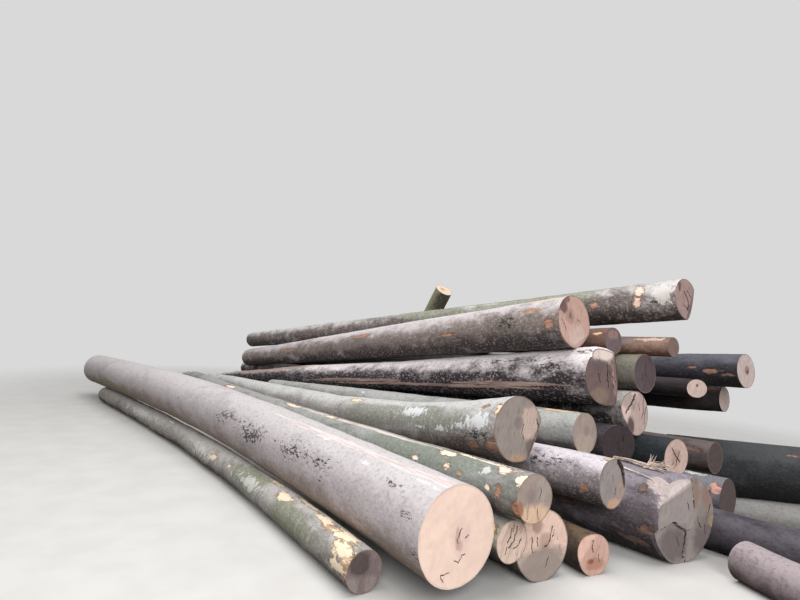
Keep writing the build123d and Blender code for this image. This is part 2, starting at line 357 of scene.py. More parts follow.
def skin(timber, look, lumps):
    """The mesh around a log: its corners, its faces, how many of those are bark, and the corners' values."""
    segments, first, longest, _ = FINENESS[look.fine]
    angles = np.linspace(0, 2 * math.pi, segments, endpoint=False)
    starts, ends = rim_places(timber, angles, True), rim_places(timber, angles, False)
    shares = steps(timber.length, first, longest)
    along = starts + shares[:, None] * (ends - starts)
    turn = np.tile(angles, len(shares))
    probe = np.clip(along, starts + RIM_MARGIN, ends - RIM_MARGIN)
    radius = timber.surface(probe.ravel(), turn).reshape(along.shape)
    radius = np.concatenate([mended(ring, timber.size(places)[0]) for ring, places in zip(radius, along)])
    along = along.ravel()
    from_butt = along - timber.low
    local = np.column_stack([radius * np.sin(turn), radius * np.cos(turn), along])
    swell = look.rough * sum(height * lumps(local, *lump) for height, *lump in BARK_LUMPS)
    swell += knot_bumps(look.knots, from_butt, turn, radius)
    values = {kind: patch_field(look.patches.get(kind, ()), from_butt, turn, radius) for kind in KINDS}
    height, *lump = TORN_LUMPS
    ragged = np.maximum(values["bare"], values["rust"]) + height * lumps(local, *lump)
    swell -= BARE_DEPTH * smooth(ragged, *TORN_EDGE)
    radius = radius + swell

    places = [timber.axis(along) + timber.outward(turn) * radius[:, None]]
    grains = [np.column_stack([radius * np.sin(turn), radius * np.cos(turn), from_butt])]
    rims = [np.ones(len(turn))]
    count = len(turn)
    rows = np.arange(count).reshape(-1, segments)
    faces = tube(rows)
    bark_faces = len(faces)
    for edge, forward in ((rows[0], True), (rows[-1], False)):
        for corners, grain, ring in end_rows(timber, look, lumps, angles, radius[edge], forward):
            row = count + np.arange(len(corners))
            count += len(corners)
            faces += end_faces(edge, row, forward)
            edge = row
            places.append(corners)
            grains.append(grain)
            rims.append(np.full(len(corners), ring))
    # How far up each bark corner faces, 1 on top and -1 below: it steers the bark's pale top and dark
    # underside, partly painted light and painted shade
    values["side"] = np.cos(turn)
    beyond = np.full(count - len(turn), -1.0)
    values = {kind: np.concatenate([field, beyond]) for kind, field in values.items()}
    places = np.vstack(places)
    places[:, 2] = np.maximum(places[:, 2], 0.0)
    return places, faces, bark_faces, {"grain": np.vstack(grains), "rim": np.concatenate(rims), **values}


def make_piece(name, places, faces, materials, values, bark_faces=math.inf):
    """An object with values at its corners. Faces after the bark's take the second material."""
    mesh = bpy.data.meshes.new(name)
    mesh.from_pydata([tuple(p) for p in places], [], [tuple(int(i) for i in f) for f in faces])
    for material in materials:
        mesh.materials.append(material)
    mesh.polygons.foreach_set("material_index", (np.arange(len(faces)) >= bark_faces).astype(int))
    mesh.polygons.foreach_set("use_smooth", np.ones(len(faces), bool))
    mesh.set_sharp_from_angle(angle=SHARP_EDGE)
    mesh.update()
    for label, numbers in values.items():
        numbers = np.asarray(numbers, float)
        kind, key = ("FLOAT_VECTOR", "vector") if numbers.ndim == 2 else ("FLOAT", "value")
        mesh.attributes.new(label, kind, "POINT").data.foreach_set(key, numbers.ravel())
    return put(name, mesh)


# Materials

EVEN = (1, 1, 1)
# How far a seed moves the place where a material's noises are read, along each axis, and the most it moves it
SEED_RATES = (7.31, 3.77, 5.19)
SEED_SPAN = 50


class Paint:
    """A material's nodes, written as sums."""

    def __init__(self, name, seed=0):
        self.material = bpy.data.materials.new(name)
        self.material.use_nodes = True
        self.tree = self.material.node_tree
        self.tree.nodes.clear()
        self.grain = self.attribute("grain", "Vector")
        self.seed = [seed * rate % SEED_SPAN for rate in SEED_RATES]

    def node(self, kind, **settings):
        node = self.tree.nodes.new("ShaderNode" + kind)
        for key, value in settings.items():
            setattr(node, key, value)
        return node

    def feed(self, value, socket):
        if isinstance(value, bpy.types.NodeSocket):
            self.tree.links.new(value, socket)
        else:
            socket.default_value = value

    def fed(self, node, values):
        """A node with a value on each of its first sockets."""
        for value, socket in zip(values, node.inputs):
            self.feed(value, socket)
        return node

    def attribute(self, name, output="Fac"):
        return self.node("Attribute", attribute_name=name).outputs[output]

    def math(self, operation, *values, clamp=False):
        return self.fed(self.node("Math", operation=operation, use_clamp=clamp), values).outputs[0]

    def add(self, *values):
        total = values[0]
        for value in values[1:]:
            total = self.math("ADD", total, value)
        return total

    def times(self, value, factor):
        return self.math("MULTIPLY", value, factor)

    def total(self, *terms):
        """The sum of values, each times a factor of its own."""
        return self.add(*(self.times(value, factor) for value, factor in terms))

    def swing(self, noise, factor):
        """A noise around zero."""
        return self.times(self.add(noise, -0.5), factor)

    def vector(self, operation, *values):
        node = self.fed(self.node("VectorMath", operation=operation), values)
        return node.outputs["Value" if operation in ("LENGTH", "DOT_PRODUCT") else "Vector"]

    def combine(self, x, y, z=0.0):
        return self.fed(self.node("CombineXYZ"), (x, y, z)).outputs[0]

    def noise(self, per_metre, detail=2, stretch=EVEN, rough=0.5, shift=0, twist=0, where=None):
        place = self.vector("MULTIPLY", where or self.grain, stretch)
        node = self.node("TexNoise")
        self.feed(self.vector("ADD", place, [s + shift for s in self.seed]), node.inputs["Vector"])
        numbers = {"Scale": per_metre, "Detail": detail, "Roughness": rough, "Distortion": twist}
        for key, number in numbers.items():
            node.inputs[key].default_value = number
        return node.outputs["Fac"]

    def noises(self, table, where=None):
        return SimpleNamespace(**{name: self.noise(*numbers, where=where) for name, numbers in table.items()})

    def ramp(self, value, low, high, start=0.0, end=1.0):
        """From start to end while the value goes from low to high."""
        node = self.node("MapRange", interpolation_type="SMOOTHSTEP")
        return self.fed(node, (value, low, high, start, end)).outputs[0]

    def mix(self, share, first, second):
        node = self.node("Mix", data_type="RGBA", clamp_factor=True)
        self.feed(share, node.inputs["Factor"])
        self.feed(first, node.inputs[6])
        self.feed(second, node.inputs[7])
        return node.outputs[2]

    def cover(self, under, over, value, low, high, start=0.0, end=1.0):
        """One colour on another: its share goes from start to end while the value goes from low to high."""
        return self.mix(self.ramp(value, low, high, start, end), under, over)

    def surface(self, colour, roughness, height, depth, gloss):
        """A plain surface with the height as fine relief of this depth."""
        bump = self.node("Bump")
        shader = self.node("BsdfPrincipled")
        for node, key, value in ((bump, "Strength", 1.0), (bump, "Distance", depth), (bump, "Height", height),
                                 (shader, "Base Color", colour), (shader, "Roughness", roughness),
                                 (shader, "Normal", bump.outputs[0]), (shader, "Specular IOR Level", gloss)):
            self.feed(value, node.inputs[key])
        return shader.outputs[0]

    def finish(self, shader):
        self.tree.links.new(shader, self.node("OutputMaterial").inputs[0])
        return self.material


def less(edges, by):
    return [edge - by for edge in edges]


# The usual bark. Of the colours, tint is that of algae, pale of lichen, bare and rust of torn places, and
# scrape and scraped of scraped strips; relief is a factor, and the other numbers are shares
BARK = dict(dark=0.55, mottle=0.6, tint="7b806c", tint_share=0.3, lichen=0.2, pale="cdccc8", fleck=0.25,
    rings=0.25, bare="f0d9bb", rust="a67c69", scrape="c5b0a6", scraped="dcd2cd", wet=0, relief=1)
# Noises of the bark: lumps per metre, detail, stretch, roughness, shift, twist
BARK_NOISES = {
    "broad": (2.2, 3, (1, 1, 0.45)),
    "cloud": (9, 5, (1, 1, 0.6), 0.62, 3),
    "fine": (70, 3, EVEN, 0.6, 5),
    "algae": (3.1, 4, (1, 1, 0.35), 0.5, 11),
    "growth": (26, 3, (0.14, 0.14, 1), 0.65, 7),
    "growth_places": (2.5, 2, EVEN, 0.5, 37),
    "grit": (48, 5, (1, 1, 0.7), 0.75, 41),
    "spots": (21, 4, (0.9, 0.9, 1.5), 0.7, 13),
    "spot_places": (2.7, 2, EVEN, 0.5, 17),
    "streaks": (40, 4, (1.6, 1.6, 0.1), 0.65, 31),
    "scratch": (34, 4, (1.5, 1.5, 0.6), 0.75, 19, 0.7),
    "scratch_places": (3.3, 3, (1, 1, 0.6), 0.5, 23),
    "torn": (20, 6, (1, 1, 0.5), 0.75, 29),
    "thin": (33, 4, (1.2, 1.2, 0.4), 0.7, 43),
}
# Where each layer of the bark starts and where it is full, on the sum that steers it
# SIDE_EDGES and TOP_EDGES lay the low, side and top colours, which hold painted shade below and painted light
# on top
SIDE_EDGES, TOP_EDGES = (-0.75, 0.05), (0.1, 0.95)
DARK_EDGES, LIGHT_EDGES = (0.36, 0.5), (0.52, 0.66)
ALGAE_EDGES, LICHEN_EDGES, FLECK_EDGES = (0.72, 0.86), (0.93, 1.0), (0.93, 0.98)
PALE_GROWTH_EDGES, DARK_GROWTH_EDGES = (0.56, 0.66), (0.34, 0.44)
DARK_GRIT_EDGES, PALE_GRIT_EDGES = (0.38, 0.47), (0.54, 0.62)
SCRAPE_EDGES, MOSS_EDGES = (0.72, 0.95), (0.62, 0.95)
MARGIN_EDGES, TORN_EDGES, FRESH_EDGES = (0.16, 0.3), (0.3, 0.36), (0.2, 0.55)
GRIT = 0.6
MUD = "2a2321"
MOSS = ("4c5230", "8b8f63")
BARK_RELIEF = 0.007


def bark(name, look, seed):
    """Beech bark: mottled, paler above than below, partly its own drier top and damper underside and partly
    painted light on top and painted shade below, with algae, lichen, flecks and torn places.
    """
    own = look.bark
    paint = Paint(name + "_bark", seed)
    noise = paint.noises(BARK_NOISES)
    at = SimpleNamespace(**{kind: paint.attribute(kind) for kind in (*KINDS, "side")})
    top, side, bare, rust = (shade(code) for code in (own.top, own.side, own.bare, own.rust))
    # Pale above and dark below: partly the bark's own drier top and damper underside, partly painted light on
    # top and painted shade below; and mottled
    lit_and_dry_above = paint.add(at.side, paint.swing(noise.cloud, 1.3), paint.swing(noise.broad, 0.8))
    colour = paint.cover(shade(own.low), side, lit_and_dry_above, *SIDE_EDGES)
    colour = paint.cover(colour, top, lit_and_dry_above, *TOP_EDGES)
    tone = paint.total((noise.broad, 0.5), (noise.cloud, 0.4), (noise.fine, 0.1))
    colour = paint.cover(colour, deeper(side, own.dark), tone, *DARK_EDGES, 0.7 * own.mottle, 0.0)
    colour = paint.cover(colour, top, tone, *LIGHT_EDGES, 0.0, 0.5 * own.mottle)
    # Algae
    algae = paint.add(noise.algae, paint.total((noise.fine, 0.12), (at.green, 0.3)))
    colour = paint.cover(colour, shade(own.tint), algae, *less(ALGAE_EDGES, 0.4 * own.tint_share), 0.0, 0.8)
    # Growth lines across the log
    some = paint.ramp(noise.growth_places, 0.4, 0.6)
    pale_lines = paint.ramp(noise.growth, *PALE_GROWTH_EDGES, 0.0, 0.8 * own.rings)
    dark_lines = paint.ramp(noise.growth, *DARK_GROWTH_EDGES, 0.9 * own.rings, 0.0)
    colour = paint.mix(paint.times(pale_lines, some), colour, deeper(top, 1.1))
    colour = paint.mix(paint.times(dark_lines, some), colour, deeper(side, 0.55))
    # Grit
    colour = paint.cover(colour, deeper(side, 0.4), noise.grit, *DARK_GRIT_EDGES, 0.7 * GRIT, 0.0)
    colour = paint.cover(colour, deeper(top, 1.15), noise.grit, *PALE_GRIT_EDGES, 0.0, 0.6 * GRIT)
    # Lichen
    lichen = paint.add(noise.spots, paint.total((noise.spot_places, 0.35), (at.pale, 0.34)))
    lichen = paint.ramp(lichen, *less(LICHEN_EDGES, 0.3 * own.lichen), 0.0, 0.85)
    colour = paint.mix(lichen, colour, shade(own.pale))
    # Scraped strips
    scraped = paint.add(at.scrape, paint.total((noise.streaks, 0.8), (noise.cloud, 0.5)))
    stripes = paint.cover(shade(own.scrape), shade(own.scraped), noise.streaks, 0.42, 0.6)
    colour = paint.cover(colour, stripes, scraped, *SCRAPE_EDGES, 0.0, 0.85)
    # Flecks of mud and scratches
    places = paint.add(noise.scratch_places, paint.times(at.dark, 0.35))
    flecks = paint.add(noise.scratch, paint.times(places, 0.4))
    flecks = paint.ramp(flecks, *less(FLECK_EDGES, 0.3 * own.fleck), 0.0, 0.9)
    colour = paint.mix(flecks, colour, shade(MUD))
    # Moss
    moss = paint.add(at.moss, paint.times(paint.add(noise.cloud, noise.fine), 0.6))
    moss = paint.ramp(moss, *MOSS_EDGES, 0.0, 0.9)
    colour = paint.mix(moss, colour, paint.cover(*map(shade, MOSS), noise.fine, 0.35, 0.65))
    # Torn places: a brown margin of inner bark around the bare wood, ragged along the grain
    ragged = paint.swing(noise.torn, 2.6)
    torn = paint.add(paint.math("MAXIMUM", at.bare, at.rust), ragged)
    fresh = paint.add(at.bare, paint.times(ragged, 0.7), paint.swing(noise.thin, 2.0))
    inner = paint.cover(deeper(rust, 0.6), rust, noise.thin, 0.38, 0.62)
    inner = paint.cover(inner, bare, noise.streaks, 0.52, 0.7, 0.0, 0.6)
    wood = paint.cover(inner, bare, fresh, *FRESH_EDGES)
    wood = paint.cover(wood, deeper(rust, 0.9), noise.streaks, 0.5, 0.72, 0.0, 0.3)
    colour = paint.cover(colour, deeper(rust, 0.45), torn, *MARGIN_EDGES, 0.0, 0.55)
    open_wood = paint.ramp(torn, *TORN_EDGES)
    colour = paint.mix(open_wood, colour, wood)
    height = paint.total((noise.cloud, 0.6), (noise.fine, 0.2), (noise.growth, 0.4 * own.rings),
                         (flecks, 0.3), (moss, 0.3), (open_wood, -0.8), (noise.streaks, 0.15), (lichen, 0.15))
    roughness = paint.ramp(noise.cloud, 0.3, 0.7, 0.92 - 0.35 * own.wet, 0.75 - 0.35 * own.wet)
    gloss = 0.2 + 0.3 * own.wet
    return paint.finish(paint.surface(colour, roughness, height, BARK_RELIEF * own.relief, gloss))


# The usual cut end; relief is a factor, and the other numbers are shares
CUT = dict(weather=0.3, grey="8d8583", rays=0.35, rings=0.15, speckle=0, speckle_colour="3f2f2a",
    edge="5a4a40", edge_share=0.6, fibres=0.42, relief=1.6)
# Noises of a cut end, written as the bark's, and the two that are read elsewhere: turned fibres and rays
CUT_NOISES = {
    "wobble": (6, 2, EVEN, 0.5, 2),
    "cloud": (11, 5, EVEN, 0.65, 6),
    "fine": (110, 2, EVEN, 0.5, 8),
    "speckle": (30, 4, EVEN, 0.7, 18),
}
FIBRE_NOISE, FIBRE_TURN = (70, 3, (1, 0.12, 1), 0.6, 10, 0.3), math.radians(20)
RAY_NOISE, RAY_CIRCLE, RAY_STRETCH = (34, 3, EVEN, 0.6, 4), 0.5, 0.6
# The growth rings' waves per metre of radius, and how much they waver
RING_WAVES, RING_WAVER, REACH_WAVER = 620, 18, 0.04
# Where each layer starts and where it is full
ZONE_EDGES, WEATHER_EDGES, SPECKLE_EDGES = (1.3, 1.85), (0.95, 1.15), (0.78, 0.84)
RAY_EDGES, FIBRE_EDGES, RIM_EDGES = (0.53, 0.75), (0.5, 0.7), (0.992, 1.008)
HEWN_WAVER, HEWN_BORDER = 0.012, 0.004
# Cracks: their colour, which is painted shade in their gaps, where they start and end in widths, how strongly
# they show, and how they waver: waves per metre and reach
CRACK_SHADE, CRACK_EDGES, CRACK_SHARE = "2a1e1a", (0.35, 0.8), 0.92
CRACK_WAVES, CRACK_WAVER = 28, 0.03
CUT_RELIEF = 0.004
# The seeds of the cut ends follow those of the bark at this distance
CUT_SEEDS = 40


def crack_gap(paint, place, cracks):
    """How far each spot lies from the nearest crack's own line, in widths of that crack."""
    nearest = None
    for width, *points in cracks:
        for (ax, ay), (bx, by) in zip(points, points[1:]):
            run_x, run_y = bx - ax, by - ay
            square = run_x ** 2 + run_y ** 2
            start = paint.vector("SUBTRACT", place, (ax, ay, 0.0))
            along = paint.vector("DOT_PRODUCT", start, (run_x / square, run_y / square, 0.0))
            share = paint.math("ADD", along, 0.0, clamp=True)
            foot = paint.combine(paint.times(share, run_x), paint.times(share, run_y))
            gap = paint.times(paint.vector("LENGTH", paint.vector("SUBTRACT", start, foot)), 1 / width)
            nearest = gap if nearest is None else paint.math("MINIMUM", nearest, gap)
    return nearest


def cut_face(name, look, seed):
    """A sawn end: rings and rays around the pith, weathered zones, checks, cracks darkened with painted shade
    and the bark's edge.
    """
    own = look.cut
    paint = Paint(name + "_cut", seed + CUT_SEEDS)
    flat = paint.vector("MULTIPLY", paint.grain, (1, 1, 0))
    noise = paint.noises(CUT_NOISES, flat)
    reach = paint.add(paint.vector("LENGTH", flat), paint.times(noise.wobble, REACH_WAVER))
    x, y, _ = paint.fed(paint.node("SeparateXYZ"), (flat,)).outputs
    angle = paint.math("ARCTAN2", x, y)
    circle = [paint.times(paint.math(wave, angle), RAY_CIRCLE) for wave in ("SINE", "COSINE")]
    rays = paint.noise(*RAY_NOISE, where=paint.combine(*circle, paint.times(reach, RAY_STRETCH)))
    rings = paint.math("SINE", paint.total((reach, RING_WAVES), (noise.wobble, RING_WAVER)))
    spin = paint.node("VectorRotate", rotation_type="Z_AXIS")
    paint.feed(flat, spin.inputs["Vector"])
    paint.feed(FIBRE_TURN, spin.inputs["Angle"])
    fibres = paint.noise(*FIBRE_NOISE, where=spin.outputs[0])
    wood = shade(own.wood)
    colour = paint.cover(wood, deeper(wood, 0.75), noise.cloud, 0.35, 0.65, 0.0, 0.35)
    for zone_x, zone_y, half_x, half_y, code, share in look.zones:
        offset = paint.vector("SUBTRACT", flat, (zone_x, zone_y, 0.0))
        offset = paint.vector("MULTIPLY", offset, (1 / half_x, 1 / half_y, 0.0))
        gap = paint.add(paint.vector("LENGTH", offset), paint.total((noise.cloud, 1.1), (noise.fine, 0.25)))
        colour = paint.cover(colour, shade(code), gap, *ZONE_EDGES, share, 0.0)
    for code, share, *borders in look.hewn:
        for border_x, border_y, offset in borders:
            past = paint.vector("DOT_PRODUCT", flat, (border_x, border_y, 0.0))
            past = paint.add(past, paint.swing(noise.fine, HEWN_WAVER))
            share = paint.times(share, paint.ramp(past, offset - HEWN_BORDER, offset + HEWN_BORDER))
        colour = paint.mix(share, colour, shade(code))
    grey = paint.add(noise.cloud, paint.total((fibres, 0.35), (noise.fine, 0.1)))
    colour = paint.cover(colour, shade(own.grey), grey, *less(WEATHER_EDGES, 0.45 * own.weather), 0.0, 0.8)
    colour = paint.cover(colour, deeper(wood, 0.5), rings, -1.0, 1.0, 0.0, own.rings)
    colour = paint.cover(colour, deeper(wood, 0.4), rays, *RAY_EDGES, 0.0, own.rays)
    colour = paint.cover(colour, deeper(wood, 0.45), fibres, *FIBRE_EDGES, 0.0, own.fibres)
    speckle_edges = less(SPECKLE_EDGES, 0.25 * own.speckle)
    colour = paint.cover(colour, shade(own.speckle_colour), noise.speckle, *speckle_edges, 0.0, 0.9)
    # Cracks: painted shade along their lines, and a groove sunk into the relief
    cracked = 0.0
    if look.cracks:
        shaky = paint.node("TexNoise")
        paint.feed(flat, shaky.inputs["Vector"])
        paint.feed(CRACK_WAVES, shaky.inputs["Scale"])
        shift = paint.vector("SUBTRACT", shaky.outputs["Color"], (0.5, 0.5, 0.5))
        shift = paint.vector("MULTIPLY", shift, (CRACK_WAVER, CRACK_WAVER, 0.0))
        gap = crack_gap(paint, paint.vector("ADD", flat, shift), look.cracks)
        cracked = paint.ramp(gap, *CRACK_EDGES, 1.0, 0.0)
        colour = paint.mix(paint.times(cracked, CRACK_SHARE), colour, shade(CRACK_SHADE))
    edge = paint.add(paint.attribute("rim"), paint.total((noise.cloud, 0.05), (noise.fine, 0.02)))
    colour = paint.cover(colour, shade(own.edge), edge, *RIM_EDGES, 0.0, own.edge_share)
    height = paint.total((fibres, 0.35), (noise.fine, 0.25), (noise.cloud, 0.45),
                         (rays, -0.3), (cracked, -1.3))
    return paint.finish(paint.surface(colour, 0.82, height, CUT_RELIEF * own.relief, 0.18))


# The logs: how each looks

def metres(numbers):
    """Millimetres as metres, one number or nested rows of them."""
    return numbers / 1000 if isinstance(numbers, (int, float)) else tuple(map(metres, numbers))


class Look:
    """How one log looks, with its lengths given in millimetres and kept in metres.

    tones: the bark's colour on top, at the side and below, partly its own and partly painted light on top and
    painted shade below; bark and cut: what differs from BARK and CUT
    zones: spots on the butt's face, as x, y, half width, half height, colour, share
    hewn: flat parts of that face, as colour, share and borders of x and y factor and offset
    cracks: dark lines of painted shade on it, as width and points; splits: open ones, as width, depth and
    points
    knots: branch scars, as place along, side in degrees, size
    patches: by kind, as place along, side in degrees, half length, half width
    """

    def __init__(self, fine, slot, tones, wood, bark=(), cut=(), zones=(), hewn=(), cracks=(), splits=(),
                 knots=(), flipped=False, rough=1.0, **patches):
        self.fine, self.slot, self.flipped, self.rough = fine, slot, flipped, rough
        self.bark = SimpleNamespace(**{**BARK, **dict(zip(("top", "side", "low"), tones)), **dict(bark)})
        self.cut = SimpleNamespace(**{**CUT, "wood": wood, **dict(cut)})
        self.cracks, self.splits = metres(cracks), metres(splits)
        self.zones = [(*metres(zone[:4]), *zone[4:]) for zone in zones]
        self.hewn = [(code, share, *((x, y, metres(offset)) for x, y, offset in borders))
                     for code, share, *borders in hewn]
        self.knots = [(metres(place), turn, metres(size)) for place, turn, size in knots]
        self.patches = {kind: [(metres(place), turn, *metres(halves)) for place, turn, *halves in spots]
                        for kind, spots in patches.items()}


